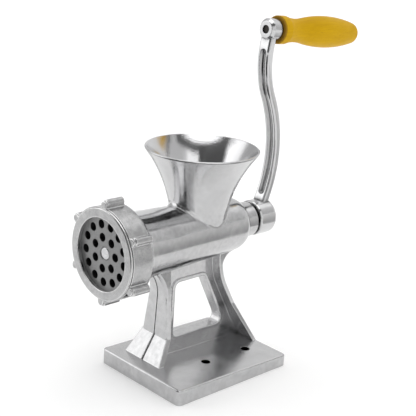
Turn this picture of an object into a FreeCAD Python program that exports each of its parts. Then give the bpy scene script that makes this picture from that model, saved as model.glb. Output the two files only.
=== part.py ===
"""Hand crank meat grinder, modelled as it comes apart on a bench. All sizes are in millimetres.

Y runs along the barrel, from the outlet at the front to the crank at the back. X points across the
base, towards its wide side, and Z is up. The origin is on the underside of the base, below the axis
of the barrel and halfway along the base. Angles are in degrees.
"""
import FreeCAD
import Part
import Sketcher
import math
import os
import re

SIZES = {
    # Base plate
    "base_length": 105.8,
    "base_left": 30.4,
    "base_right": 52.4,
    "base_front_height": 11.3,
    "base_back_height": 8.6,
    "base_corner_radius": 3.0,
    "base_edge_radius": 1.2,
    "bolt_hole_diameter": 6.4,
    "bolt_hole_spacing": 39.8,
    "bolt_hole_side": 28.4,
    "bolt_hole_middle": 14.0,
    # Stand
    "front_leg_reach": 29.9,
    "front_leg_depth": 4.5,
    "front_leg_flare": 9.0,
    "front_leg_flare_height": 57.0,
    "front_leg_top_width": 13.6,
    "front_leg_bend_reach": 31.2,
    "front_leg_bend_width": 26.6,
    "front_leg_bend_height": 27.5,
    "front_leg_foot_width": 36.6,
    "front_leg_foot_reach": 41.2,
    "leg_groove_width": 1.6,
    "leg_groove_depth": 1.1,
    "leg_round": 2.0,
    "rear_leg_reach": 21.6,
    "rear_leg_bend_height": 65.2,
    "rear_leg_bend_radius": 45.0,
    "rear_leg_thickness": 2.8,
    "rear_leg_flare": 10.8,
    "rear_leg_flare_height": 70.0,
    "rear_leg_top_width": 20.0,
    "rear_leg_middle_width": 25.0,
    "rear_leg_middle_height": 40.0,
    "rear_leg_foot_width": 43.0,
    "rear_leg_foot_inset": 0.3,
    "web_thickness": 7.0,
    "window_front": 17.4,
    "window_bottom": 22.8,
    "window_height": 42.0,
    "window_top_back": 10.8,
    "window_bottom_back": 32.6,
    "window_corner_radius": 4.5,
    "window_rim_width": 2.2,
    "window_rim_thickness": 9.0,
    # Barrel and mouth
    "axis_height": 98.2,
    "barrel_diameter": 45.1,
    "barrel_bore": 34.6,
    "barrel_back_margin": 9.4,
    "barrel_back_diameter": 39.6,
    "barrel_shoulder_length": 11.5,
    "barrel_shoulder_diameter": 27.6,
    "barrel_flare_start": 30.0,
    "barrel_flare_rise": 2.0,
    "rear_boss_diameter": 25.8,
    "rear_boss_reach": 54.3,
    "rear_wall": 22.3,
    "mouth_reach": 75.5,
    "mouth_diameter": 58.4,
    "mouth_length": 11.5,
    "mouth_cone": 7.0,
    "plate_seat_depth": 2.2,
    # Hopper
    "hopper_middle": 4.4,
    "hopper_neck_diameter": 38.4,
    "hopper_rim_diameter": 82.0,
    "hopper_rim_height": 159.6,
    "hopper_rim_wall": 1.9,
    "hopper_neck_wall": 3.2,
    "hopper_rim_round": 0.8,
    "hopper_barrel_round": 3.0,
    # Outlet: plate, knife, ring nut
    "plate_diameter": 54.0,
    "plate_thickness": 5.0,
    "plate_hole_diameter": 6.0,
    "inner_hole_ring": 21.9,
    "inner_hole_count": 7,
    "inner_hole_start": 105.2,
    "outer_hole_ring": 39.9,
    "outer_hole_count": 13,
    "outer_hole_start": 130.6,
    "plate_hole_bevel": 0.6,
    "key_diameter": 3.0,
    "key_length": 6.5,
    "knife_thickness": 6.5,
    "knife_hub_diameter": 19.0,
    "knife_reach": 22.6,
    "knife_blade_width": 8.0,
    "knife_blade_sweep": 3.0,
    "knife_blade_count": 4,
    "stud_diameter": 8.3,
    "stud_square": 8.6,
    "stud_shank_diameter": 10.0,
    "stud_shank_length": 16.0,
    "stud_recess": 0.3,
    "stud_chamfer": 0.3,
    "stud_gap": 0.3,
    "ring_diameter": 63.8,
    "ring_length": 18.6,
    "ring_lip": 3.4,
    "ring_opening": 50.0,
    "ring_disc_diameter": 63.8,
    "ring_disc_thickness": 1.0,
    "ring_groove_width": 1.0,
    "ring_groove_depth": 1.1,
    "ring_edge_bevel": 0.9,
    "lug_count": 6,
    "lug_width": 5.2,
    "lug_height": 5.3,
    "lug_nose_length": 1.9,
    "lug_nose_height": 4.2,
    "lug_back_margin": 2.5,
    # Auger and its bearing
    "flight_diameter": 33.8,
    "flight_root_width": 6.5,
    "flight_tip_width": 3.5,
    "flight_pitch": 23.0,
    "auger_core_diameter": 17.0,
    "auger_disc_thickness": 4.0,
    "journal_diameter": 14.0,
    "bush_wall": 2.4,
    "thrust_washer_diameter": 32.0,
    "thrust_washer_thickness": 1.5,
    "shaft_square": 9.4,
    # Crank
    "hub_gap": 2.6,
    "hub_diameter": 26.6,
    "hub_length": 18.3,
    "hub_front_round": 2.4,
    "hub_back_round": 4.0,
    "socket_depth": 8.9,
    "crank_throw": 140.1,
    "arm_width": 11.6,
    "arm_thickness": 6.0,
    "arm_edge_round": 2.4,
    "arm_start_offset": 5.0,
    "arm_turn_offset": 10.4,
    "arm_turn_height": 91.1,
    "arm_turn_angle": 26.3,
    "arm_top_offset": 8.0,
    "groove_width": 5.6,
    "groove_depth": 2.1,
    "groove_start": 19.0,
    "groove_end": 123.4,
    "top_boss_offset": 2.1,
    "top_boss_diameter": 15.6,
    "top_boss_face_diameter": 11.7,
    "top_boss_length": 9.0,
    "grip_droop": 4.6,
    # Crank screw
    "crank_screw_diameter": 5.0,
    "crank_screw_length": 18.0,
    "crank_screw_head_diameter": 9.6,
    "crank_screw_head_height": 2.6,
    "screw_slot_width": 1.2,
    "screw_slot_depth": 1.2,
    "spring_washer_thickness": 1.2,
    "spring_washer_slit": 1.0,
    # Grip and its bolt
    "grip_length": 87.6,
    "grip_collar_diameter": 20.2,
    "grip_collar_length": 7.3,
    "grip_collar_bevel": 1.0,
    "grip_neck_end": 27.0,
    "grip_neck_diameter": 18.4,
    "grip_neck_curve": 42.5,
    "grip_end_diameter": 13.6,
    "grip_swell_curve": 132.0,
    "grip_end_round": 5.7,
    "grip_washer_diameter": 14.8,
    "grip_washer_thickness": 1.2,
    "grip_bolt_diameter": 6.0,
    "grip_bolt_head_diameter": 8.4,
    "grip_bolt_head_height": 3.0,
    "grip_bolt_recess": 5.0,
    # Clearances
    "seat_gap": 0.1,
    "press_gap": 0.02,
    "shaft_gap": 0.06,
    "running_gap": 0.4,
    "thread_gap": 0.3,
}

# Places along the barrel's axis, measured from the middle of the base
PLATE_SEAT = "(plate_seat_depth - mouth_reach)"
PLATE_BACK = f"({PLATE_SEAT} - seat_gap)"
PLATE_FRONT = f"({PLATE_BACK} - plate_thickness)"
KEY_FRONT = f"({PLATE_FRONT} + plate_thickness / 3)"
RING_FACE = f"({PLATE_FRONT} - seat_gap)"
RING_FRONT = f"({RING_FACE} - ring_lip)"
RING_REAR = f"({RING_FRONT} + ring_length)"
KNIFE_FRONT = f"({PLATE_BACK} + seat_gap)"
AUGER_FRONT = f"({KNIFE_FRONT} + knife_thickness)"
BARREL_BACK = "(hopper_middle + hopper_neck_diameter / 2 + barrel_back_margin)"
SHOULDER_END = f"({BARREL_BACK} + barrel_shoulder_length)"
REAR_WALL = "(rear_boss_reach - rear_wall)"
AUGER_REAR = f"({REAR_WALL} - thrust_washer_thickness - 2 * seat_gap)"
HUB_FRONT = "(rear_boss_reach + hub_gap)"
HUB_BACK = f"({HUB_FRONT} + hub_length)"
SHAFT_END = f"({HUB_FRONT} + socket_depth - seat_gap)"
TOP_FRONT = f"({HUB_FRONT} + top_boss_offset)"

# Heights above the underside of the base
TOP_HEIGHT = "(axis_height + crank_throw)"
FOOT_DEPTH = "(base_back_height / 2)"

# Places along the grip's own axis, measured from the front of the crank's top boss
GRIP_WASHER_FRONT = "(top_boss_length + seat_gap)"
GRIP_FRONT = f"({GRIP_WASHER_FRONT} + grip_washer_thickness + running_gap)"
GRIP_END = f"({GRIP_FRONT} + grip_length)"
GRIP_BOLT_SEAT = f"({GRIP_END} - grip_bolt_recess)"

# Places along the crank screw
SCREW_HEAD_SEAT = f"({HUB_BACK} - crank_screw_head_height - spring_washer_thickness - hub_front_round)"

DOC = FreeCAD.newDocument("MeatGrinder")


def fill_sheet():
    """Write every size into the sheet as a plain number with its name as the alias."""
    sheet = DOC.addObject("Spreadsheet::Sheet", "Sizes")
    for row, (alias, size) in enumerate(SIZES.items(), start=1):
        sheet.set(f"A{row}", alias)
        sheet.set(f"B{row}", str(size))
        sheet.setAlias(f"B{row}", alias)
    DOC.recompute()


def formula(text):
    """The text as an expression that reads each size from the sheet."""
    return re.sub(r"[a-z_]+", lambda word: "Sizes." + word[0] if word[0] in SIZES else word[0], text)


def number(owner, text):
    return float(owner.evalExpression(formula(text)))


def bind(target, prop, text):
    target.setExpression(prop, formula(text))


# Bodies, sketches and features

def new_body(name, place=("0", "0", "0"), droop=None):
    """An empty body at a place. Its Y axis points down by the droop, where one is given."""
    body = DOC.addObject("PartDesign::Body", name)
    body.Label = name
    if droop:
        body.Placement.Rotation = FreeCAD.Rotation(FreeCAD.Vector(-1, 0, 0), number(body, droop))
        bind(body, "Placement.Rotation.Angle", f"{droop} * 1 deg")
    for axis, text in zip("xyz", place):
        bind(body, f"Placement.Base.{axis}", f"({text}) * 1 mm")
    return body


def origin_feature(body, role):
    return next(item for item in body.Origin.OriginFeatures if item.Role == role)


def sketch_on(body, plane, name, across="0", up="0", off="0"):
    sketch = body.newObject("Sketcher::SketchObject", name)
    sketch.AttachmentSupport = [(origin_feature(body, plane), "")]
    sketch.MapMode = "FlatFace"
    for axis, text in zip("xyz", (across, up, off)):
        bind(sketch, f"AttachmentOffset.Base.{axis}", f"({text}) * 1 mm")
    return sketch


def constrain(sketch, kind, places, text):
    index = sketch.addConstraint(Sketcher.Constraint(kind, *places, number(sketch, text)))
    bind(sketch, f"Constraints[{index}]", text)


def pin(sketch, edge, end, across, up):
    constrain(sketch, "DistanceX", (edge, end), across)
    constrain(sketch, "DistanceY", (edge, end), up)


def spot(sketch, corner):
    return FreeCAD.Vector(number(sketch, corner[0]), number(sketch, corner[1]), 0)


def add_line(sketch, start, end):
    return sketch.addGeometry(Part.LineSegment(start, end)), 1, 2


def add_arc(sketch, start, end, radius_text):
    """Arc with its centre left of the way from start to end, or right of it for a negative radius."""
    radius = number(sketch, radius_text)
    chord = end - start
    left = FreeCAD.Vector(-chord.y, chord.x, 0) / chord.Length
    reach = math.copysign(math.sqrt(max(0.0, radius ** 2 - chord.Length ** 2 / 4)), radius)
    centre = (start + end) / 2 + left * reach
    first, last = (start, end) if radius > 0 else (end, start)
    angles = [math.atan2(point.y - centre.y, point.x - centre.x) for point in (first, last)]
    circle = Part.Circle(centre, FreeCAD.Vector(0, 0, 1), abs(radius))
    edge = sketch.addGeometry(Part.ArcOfCircle(circle, *angles))
    constrain(sketch, "Radius", (edge,), f"abs({radius_text})")
    return (edge, 1, 2) if radius > 0 else (edge, 2, 1)


def add_chain(sketch, corners):
    """Edges from corner to corner. A corner's third value is the radius of the arc that leaves it."""
    edges = []
    for corner, following in zip(corners, corners[1:]):
        start, end = spot(sketch, corner), spot(sketch, following)
        if len(corner) == 3:
            edges.append(add_arc(sketch, start, end, corner[2]))
        else:
            edges.append(add_line(sketch, start, end))
        pin(sketch, edges[-1][0], edges[-1][1], *corner[:2])
    for (before, _, last), (after, first, _) in zip(edges, edges[1:]):
        sketch.addConstraint(Sketcher.Constraint("Coincident", before, last, after, first))
    return edges


def add_outline(sketch, corners):
    edges = add_chain(sketch, corners + corners[:1])
    (after, first, _), (before, _, last) = edges[0], edges[-1]
    sketch.addConstraint(Sketcher.Constraint("Coincident", before, last, after, first))


def add_path(sketch, corners):
    edges = add_chain(sketch, corners)
    pin(sketch, edges[-1][0], edges[-1][2], *corners[-1][:2])


def add_circle(sketch, across, up, diameter):
    centre = spot(sketch, (across, up))
    edge = sketch.addGeometry(Part.Circle(centre, FreeCAD.Vector(0, 0, 1), number(sketch, diameter) / 2))
    pin(sketch, edge, 3, across, up)
    constrain(sketch, "Diameter", (edge,), diameter)


def add_square(sketch, side):
    half = f"{side} / 2"
    add_outline(sketch, [(f"-{half}", f"-{half}"), (half, f"-{half}"), (half, half), (f"-{half}", half)])


def pad(body, sketch, length, midplane=False, backwards=False):
    feature = body.newObject("PartDesign::Pad", sketch.Name + "Pad")
    feature.Profile = sketch
    feature.Midplane = midplane
    feature.Reversed = backwards
    bind(feature, "Length", length)
    return feature


def pocket_through(body, sketch):
    feature = body.newObject("PartDesign::Pocket", sketch.Name + "Pocket")
    feature.Profile = sketch
    feature.Type = "ThroughAll"
    feature.Midplane = True
    return feature


def slot(body, sketch, width):
    feature = body.newObject("PartDesign::Pocket", sketch.Name + "Slot")
    feature.Profile = sketch
    feature.Midplane = True
    bind(feature, "Length", width)
    return feature


def revolve(body, sketch, axis):
    feature = body.newObject("PartDesign::Revolution", sketch.Name + "Turn")
    feature.Profile = sketch
    feature.ReferenceAxis = (sketch, [axis])
    return feature


def pattern_round(body, feature, count):
    """Repeat a feature round the body's Y axis."""
    pattern = body.newObject("PartDesign::PolarPattern", feature.Name + "Pattern")
    pattern.Originals = [feature]
    pattern.Axis = (origin_feature(body, "Y_Axis"), [""])
    bind(pattern, "Occurrences", count)
    body.Tip = pattern
    return pattern


def round_edges(body, name, radius, chosen):
    DOC.recompute()
    base = body.Tip
    edges = [f"Edge{index}" for index, edge in enumerate(base.Shape.Edges, start=1) if chosen(edge)]
    feature = body.newObject("PartDesign::Fillet", name)
    feature.Base = (base, edges)
    bind(feature, "Radius", radius)
    return feature


def turned(name, profile, place=("0", "0", "axis_height"), droop=None):
    """A body turned round its Y axis from a profile of (place along the axis, radius) corners."""
    body = new_body(name, place, droop)
    sketch = sketch_on(body, "YZ_Plane", name + "Profile")
    add_outline(sketch, profile)
    revolve(body, sketch, "H_Axis")
    return body


def tube(start, end, inner_diameter, outer_diameter):
    """The profile of a plain ring, or of a rod where the inner diameter is 0."""
    inner, outer = f"({inner_diameter}) / 2", f"({outer_diameter}) / 2"
    return [(start, inner), (end, inner), (end, outer), (start, outer)]


def fused(name, bodies):
    joined = DOC.addObject("Part::MultiFuse", name)
    joined.Shapes = bodies
    return joined


def cut(name, base, tools):
    """The base with the tools taken out of it, under a label of its own."""
    result = DOC.addObject("Part::Cut", name)
    result.Label = name
    result.Base = base
    result.Tool = fused(name + "_cores", tools) if len(tools) > 1 else tools[0]
    return result


def is_upright(edge):
    return abs(edge.tangentAt(edge.FirstParameter).z) > 0.99


# Body casting: base, stand, barrel and hopper in one piece

def base_block():
    body = new_body("base_block")
    sketch = sketch_on(body, "YZ_Plane", "BaseSide", off="-base_left")
    add_outline(sketch, [
        ("-base_length / 2", "0"),
        ("base_length / 2", "0"),
        ("base_length / 2", "base_back_height"),
        ("-base_length / 2", "base_front_height"),
    ])
    pad(body, sketch, "base_left + base_right")
    round_edges(body, "BaseCorners", "base_corner_radius", is_upright)
    middle = number(body, "base_back_height / 2")
    round_edges(body, "BaseEdges", "base_edge_radius", lambda edge: edge.BoundBox.ZMin > middle)
    return body


def front_leg_edge(inset):
    """The line down the front leg, from the barrel to the base, at a depth in from its face."""
    under = "axis_height - 0.47 * barrel_diameter"
    return [
        (f"{inset} - front_leg_reach - front_leg_flare", under,
         "-" + curve_radius(f"{under} - front_leg_flare_height", "front_leg_flare")),
        (f"{inset} - front_leg_reach", "front_leg_flare_height"),
        (f"{inset} - front_leg_bend_reach", "front_leg_bend_height"),
        (f"{inset} - front_leg_foot_reach", "base_front_height"),
        (f"{inset} - front_leg_foot_reach", FOOT_DEPTH),
    ]


def front_leg():
    """Flange with a groove down its face, which sweeps into the barrel and has flat facets at its foot."""
    body = new_body("front_leg")
    top = "axis_height - barrel_diameter / 3"
    side = sketch_on(body, "YZ_Plane", "FrontLegSide")
    add_outline(side, front_leg_edge("0") + [
        ("front_leg_depth - front_leg_foot_reach", FOOT_DEPTH),
        ("front_leg_depth - front_leg_foot_reach", "base_front_height"),
        ("front_leg_depth - front_leg_bend_reach", "front_leg_bend_height"),
        ("front_leg_depth - front_leg_reach", "front_leg_flare_height"),
        ("front_leg_depth - front_leg_reach", top),
        ("-front_leg_reach - front_leg_flare", top),
    ])
    pad(body, side, "2 * front_leg_foot_width", midplane=True)
    front = sketch_on(body, "XZ_Plane", "FrontLegSides")
    for sign in ("", "-"):
        add_outline(front, [
            (f"{sign}front_leg_top_width / 2", top),
            (f"{sign}front_leg_bend_width / 2", "front_leg_bend_height"),
            (f"{sign}front_leg_foot_width / 2", "base_front_height"),
            (f"{sign}front_leg_foot_width / 2", "0"),
            (f"{sign}2 * front_leg_foot_width", "0"),
            (f"{sign}2 * front_leg_foot_width", top),
        ])
    pocket_through(body, front)
    bend = number(body, "front_leg_bend_height")
    middle = number(body, "front_leg_depth / 2 - front_leg_reach")

    def on_face(edge):
        box = edge.BoundBox
        return box.ZMin > bend - 1 and box.ZLength > 1 and box.XLength > 0.1 and box.YMax < middle

    round_edges(body, "FrontLegRounds", "leg_round", on_face)
    groove = sketch_on(body, "YZ_Plane", "FrontLegGroove")
    add_outline(groove, front_leg_edge("leg_groove_depth") + [
        ("-2 * front_leg_foot_reach", FOOT_DEPTH),
        ("-2 * front_leg_foot_reach", "axis_height - 0.47 * barrel_diameter"),
    ])
    slot(body, groove, "leg_groove_width")
    return body


def rear_leg():
    """Thin flange that drops from the barrel and bends back to the base's rear edge."""
    body = new_body("rear_leg")
    top = "axis_height - barrel_diameter / 3"
    foot = "(base_length / 2 - rear_leg_foot_inset)"
    slant = f"(({foot} - rear_leg_reach) / (rear_leg_bend_height - base_back_height))"
    stretch = f"sqrt(1 + {slant} ^ 2)"
    lean = f"rear_leg_thickness * ({stretch} - 1) / {slant}"
    side = sketch_on(body, "YZ_Plane", "RearLegSide")
    add_outline(side, [
        ("rear_leg_reach", top),
        ("rear_leg_reach", "rear_leg_bend_height"),
        (foot, "base_back_height"),
        (foot, FOOT_DEPTH),
        (f"{foot} - rear_leg_thickness * {stretch}", FOOT_DEPTH),
        (f"{foot} - rear_leg_thickness * {stretch}", "base_back_height"),
        ("rear_leg_reach - rear_leg_thickness", f"rear_leg_bend_height - {lean}"),
        ("rear_leg_reach - rear_leg_thickness", top),
    ])
    pad(body, side, "2 * rear_leg_foot_width", midplane=True)
    bend = number(body, "rear_leg_bend_height")
    thickness = number(body, "rear_leg_thickness")

    def on_bend(edge):
        return edge.BoundBox.XLength > 1 and abs(edge.BoundBox.Center.z - bend) < thickness / 2

    round_edges(body, "RearLegBend", "rear_leg_bend_radius", on_bend)
    flare = sketch_on(body, "YZ_Plane", "RearLegFlare")
    core = "rear_leg_reach - rear_leg_thickness / 2"
    under = "axis_height - 0.425 * barrel_back_diameter"
    add_outline(flare, [
        (core, top),
        (core, "rear_leg_flare_height"),
        ("rear_leg_reach", "rear_leg_flare_height",
         "-" + curve_radius(f"{under} - rear_leg_flare_height", "rear_leg_flare")),
        ("rear_leg_reach + rear_leg_flare", under),
        ("rear_leg_reach + rear_leg_flare", top),
    ])
    pad(body, flare, "2 * rear_leg_foot_width", midplane=True)
    front = sketch_on(body, "XZ_Plane", "RearLegSides")
    for sign in ("", "-"):
        add_outline(front, [
            (f"{sign}rear_leg_top_width / 2", "axis_height"),
            (f"{sign}rear_leg_middle_width / 2", "rear_leg_middle_height"),
            (f"{sign}rear_leg_foot_width / 2", "base_back_height"),
            (f"{sign}rear_leg_foot_width / 2", "0"),
            (f"{sign}2 * rear_leg_foot_width", "0"),
            (f"{sign}2 * rear_leg_foot_width", "axis_height"),
        ])
    pocket_through(body, front)
    return body


def window_corners(margin):
    """The stand's window, with a margin outside it, as (along, height) corners."""
    slope = "((window_bottom_back - window_top_back) / window_height)"
    back = f"{margin} * sqrt(1 + {slope} ^ 2)"
    return [
        (f"-window_front - {margin}", f"window_bottom - {margin}"),
        (f"window_bottom_back + {back} + {margin} * {slope}", f"window_bottom - {margin}"),
        (f"window_top_back + {back} - {margin} * {slope}", f"window_bottom + window_height + {margin}"),
        (f"-window_front - {margin}", f"window_bottom + window_height + {margin}"),
    ]


def window_block(name, margin, thickness):
    body = new_body(name)
    sketch = sketch_on(body, "YZ_Plane", name + "Side")
    add_outline(sketch, window_corners(margin))
    pad(body, sketch, thickness, midplane=True)
    round_edges(
        body, name + "Corners", f"window_corner_radius + {margin}", lambda edge: edge.BoundBox.XLength > 1)
    return body


def web():
    """Wall between the two legs."""
    body = new_body("web")
    sketch = sketch_on(body, "YZ_Plane", "WebSide")
    top = "axis_height - barrel_diameter / 3"
    inset = "rear_leg_thickness / 2"
    add_outline(sketch, [
        ("front_leg_depth / 2 - front_leg_reach", top),
        ("front_leg_depth / 2 - front_leg_reach", "front_leg_bend_height"),
        ("front_leg_depth - front_leg_foot_reach", FOOT_DEPTH),
        ("base_length / 2 - rear_leg_foot_inset - rear_leg_thickness", FOOT_DEPTH),
        ("base_length / 2 - rear_leg_foot_inset - rear_leg_thickness", "base_back_height"),
        (f"rear_leg_reach - {inset}", "rear_leg_bend_height"),
        (f"rear_leg_reach - {inset}", top),
    ])
    pad(body, sketch, "web_thickness", midplane=True)
    return body


def curve_radius(length, drop):
    """Radius of an arc that starts level and drops by so much over a length."""
    return f"((({length}) ^ 2 + ({drop}) ^ 2) / (2 * ({drop})))"


def add_hopper(body, neck_radius, rim_radius, top):
    """A trumpet that leaves the barrel's axis upright and flares to the rim, then rises to its top."""
    rise, spread = "(hopper_rim_height - axis_height)", f"({rim_radius} - ({neck_radius}))"
    sketch = sketch_on(body, "YZ_Plane", body.Name + "Hopper", across="hopper_middle", up="-axis_height")
    corners = [
        ("0", "axis_height"),
        (neck_radius, "axis_height", "-" + curve_radius(rise, spread)),
        (rim_radius, "hopper_rim_height"),
    ]
    if top != "hopper_rim_height":
        corners.append((rim_radius, top))
    add_outline(sketch, corners + [("0", top)])
    revolve(body, sketch, "V_Axis")


def barrel_outside():
    """Barrel with the hopper on top of it, rounded where they meet."""
    mouth_back = "mouth_length - mouth_reach"
    flare_length = "mouth_reach - mouth_length - mouth_cone - barrel_flare_start"
    shoulder_drop = "(barrel_back_diameter - barrel_shoulder_diameter) / 2"
    body = turned("barrel_outside", [
        ("-mouth_reach", "0"),
        ("-mouth_reach", "mouth_diameter / 2"),
        (mouth_back, "mouth_diameter / 2"),
        (f"{mouth_back} + mouth_cone", "barrel_diameter / 2 + barrel_flare_rise",
         curve_radius(flare_length, "barrel_flare_rise")),
        ("-barrel_flare_start", "barrel_diameter / 2"),
        (BARREL_BACK, "barrel_back_diameter / 2",
         "-" + curve_radius("barrel_shoulder_length", shoulder_drop)),
        (SHOULDER_END, "barrel_shoulder_diameter / 2"),
        (SHOULDER_END, "rear_boss_diameter / 2"),
        ("rear_boss_reach", "rear_boss_diameter / 2"),
        ("rear_boss_reach", "0"),
    ])
    add_hopper(body, "hopper_neck_diameter / 2", "hopper_rim_diameter / 2", "hopper_rim_height")
    round_edges(
        body, "HopperFoot", "hopper_barrel_round",
        lambda edge: edge.Curve.TypeId == "Part::GeomBSplineCurve")
    rim = number(body, "hopper_rim_height - axis_height")
    round_edges(
        body, "HopperRim", "hopper_rim_round",
        lambda edge: edge.BoundBox.ZMin > rim - 0.1 and edge.BoundBox.XLength > 1)
    return body


def barrel_core():
    """The room inside the barrel: plate seat, knife chamber, auger bore and bush seat."""
    seat = "plate_diameter / 2 + running_gap"
    chamber = "knife_reach + 2 * running_gap"
    chamber_back = f"{AUGER_FRONT} + running_gap"
    bush_seat = "journal_diameter / 2 + shaft_gap + bush_wall + press_gap"
    return turned("barrel_core", [
        ("-mouth_reach - ring_lip", "0"),
        ("-mouth_reach - ring_lip", seat),
        (PLATE_SEAT, seat),
        (PLATE_SEAT, chamber),
        (chamber_back, chamber),
        (chamber_back, "barrel_bore / 2"),
        (REAR_WALL, "barrel_bore / 2"),
        (REAR_WALL, bush_seat),
        ("rear_boss_reach + hub_gap", bush_seat),
        ("rear_boss_reach + hub_gap", "0"),
    ])


def hopper_core():
    """The room inside the hopper, down to the barrel's axis."""
    body = new_body("hopper_core", ("0", "0", "axis_height"))
    add_hopper(
        body,
        "hopper_neck_diameter / 2 - hopper_neck_wall",
        "hopper_rim_diameter / 2 - hopper_rim_wall",
        "hopper_rim_height + hopper_rim_wall")
    return body


def bolt_holes():
    body = new_body("bolt_holes")
    sketch = sketch_on(body, "XY_Plane", "BoltHoles", off="-base_front_height")
    for side in ("-", "+"):
        add_circle(
            sketch, "bolt_hole_side", f"bolt_hole_middle {side} bolt_hole_spacing / 2", "bolt_hole_diameter")
    pad(body, sketch, "3 * base_front_height")
    return body


def key_rod(name, diameter, start, length):
    """A rod along the barrel on the plate's rim, below the axis."""
    place = ("0", "0", "axis_height - plate_diameter / 2")
    return turned(name, tube(start, f"{start} + {length}", "0", diameter), place)


def body_casting():
    shell = fused("casting_solids", [
        base_block(), front_leg(), rear_leg(), web(),
        window_block("window_rim", "window_rim_width", "window_rim_thickness"),
        barrel_outside(),
    ])
    window = window_block("window_core", "0", "2 * window_rim_thickness")
    key_hole = key_rod(
        "key_hole", "key_diameter + 2 * press_gap", KEY_FRONT, "key_length + seat_gap")
    return cut("body_casting", shell, [window, barrel_core(), hopper_core(), bolt_holes(), key_hole])




# Pieces fixed in the casting

def rear_bush():
    inner = "journal_diameter + 2 * shaft_gap"
    return turned(
        "rear_bush", tube(f"{REAR_WALL} + seat_gap", "rear_boss_reach", inner, f"{inner} + 2 * bush_wall"))


def thrust_washer():
    start = f"{REAR_WALL} - seat_gap - thrust_washer_thickness"
    inner = "journal_diameter + 2 * running_gap"
    return turned(
        "thrust_washer", tube(start, f"{REAR_WALL} - seat_gap", inner, "thrust_washer_diameter"))


def plate_key():
    return key_rod("plate_key", "key_diameter", KEY_FRONT, "key_length")


# Pieces at the outlet

def hole_ring(body, name, ring_diameter, start, count):
    sketch = sketch_on(body, "XZ_Plane", name)
    add_circle(
        sketch, f"{ring_diameter} / 2 * cos({start})", f"{ring_diameter} / 2 * sin({start})",
        "plate_hole_diameter")
    pattern_round(body, pocket_through(body, sketch), count)


def grinding_plate():
    bore = "stud_diameter / 2 + stud_gap"
    body = turned("plate_disc", [
        (PLATE_FRONT, f"{bore} + plate_hole_bevel"),
        (f"{PLATE_FRONT} + plate_hole_bevel", bore),
        (PLATE_BACK, bore),
        (PLATE_BACK, "plate_diameter / 2"),
        (PLATE_FRONT, "plate_diameter / 2"),
    ])
    hole_ring(body, "InnerHoles", "inner_hole_ring", "inner_hole_start", "inner_hole_count")
    hole_ring(body, "OuterHoles", "outer_hole_ring", "outer_hole_start", "outer_hole_count")
    notch = key_rod("plate_notch", "key_diameter + 2 * thread_gap", RING_FACE, "2 * plate_thickness")
    return cut("grinding_plate", body, [notch])


def knife():
    """Four swept blades round a square hole."""
    body = turned(
        "knife", tube(KNIFE_FRONT, AUGER_FRONT, "0", "knife_hub_diameter"))
    half = "knife_blade_width / 2"
    tip = "sqrt(knife_reach ^ 2 - (knife_blade_sweep + knife_blade_width / 2) ^ 2)"
    blade = sketch_on(body, "XZ_Plane", "Blade", off=f"-({AUGER_FRONT})")
    add_outline(blade, [
        (f"-{half}", "0"),
        (half, "0"),
        (f"knife_blade_sweep + {half} / 2", tip),
        (f"knife_blade_sweep - {half}", tip),
    ])
    pattern_round(body, pad(body, blade, "knife_thickness"), "knife_blade_count")
    square = sketch_on(body, "XZ_Plane", "KnifeSquare")
    add_square(square, "(stud_square + 2 * shaft_gap)")
    pocket_through(body, square)
    return body


def knife_stud():
    """Steel stud: a round shank in the auger, a square for the knife and a round tip in the plate."""
    tip_end = f"({PLATE_FRONT} + stud_recess)"
    body = turned("knife_stud", [
        (tip_end, "0"),
        (tip_end, "stud_diameter / 2 - stud_chamfer"),
        (f"{tip_end} + stud_chamfer", "stud_diameter / 2"),
        (AUGER_FRONT, "stud_diameter / 2"),
        (AUGER_FRONT, "stud_shank_diameter / 2"),
        (f"{AUGER_FRONT} + stud_shank_length", "stud_shank_diameter / 2"),
        (f"{AUGER_FRONT} + stud_shank_length", "0"),
    ])
    square = sketch_on(body, "XZ_Plane", "StudSquare", off=f"-({AUGER_FRONT})")
    add_square(square, "stud_square")
    pad(body, square, "knife_thickness")
    return body


def lug_outline(sketch, height):
    half, rise = "lug_width / 2", f"min({height} / 2, 0.48 * lug_width)"
    top = f"ring_diameter / 2 + {height} - {rise}"
    bow = curve_radius(half, rise)
    foot = "ring_diameter / 2 - 1.2 * ring_groove_depth"
    add_outline(sketch, [(f"-{half}", foot), (half, foot), (half, top, bow), (f"-{half}", top)])


def ring_nut():
    """Cap ring that screws over the mouth and holds the plate, with lugs to turn it by."""
    disc_back = f"({RING_FRONT} + ring_disc_thickness)"
    groove_back = f"({disc_back} + ring_groove_width)"
    bore = "mouth_diameter / 2 + thread_gap"
    body = turned("ring_nut", [
        (RING_FRONT, "ring_opening / 2"),
        (RING_FRONT, "ring_disc_diameter / 2 - ring_edge_bevel"),
        (f"{RING_FRONT} + ring_edge_bevel", "ring_disc_diameter / 2"),
        (disc_back, "ring_disc_diameter / 2"),
        (disc_back, "ring_diameter / 2 - ring_groove_depth"),
        (groove_back, "ring_diameter / 2 - ring_groove_depth"),
        (groove_back, "ring_diameter / 2"),
        (f"{RING_REAR} - ring_edge_bevel", "ring_diameter / 2"),
        (RING_REAR, "ring_diameter / 2 - ring_edge_bevel"),
        (RING_REAR, bore),
        (RING_FACE, bore),
        (RING_FACE, "ring_opening / 2"),
    ])
    lug_front = f"({disc_back} + ring_groove_width / 4)"
    nose = sketch_on(body, "XZ_Plane", "LugNose", off=f"-{lug_front}")
    lug_outline(nose, "lug_nose_height")
    pattern_round(body, pad(body, nose, "2 * lug_nose_length", backwards=True), "lug_count")
    lug = sketch_on(body, "XZ_Plane", "Lug", off=f"-({lug_front} + lug_nose_length)")
    lug_outline(lug, "lug_height")
    length = f"{RING_REAR} - lug_back_margin - {lug_front} - lug_nose_length"
    pattern_round(body, pad(body, lug, length, backwards=True), "lug_count")
    return body


# Auger

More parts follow.
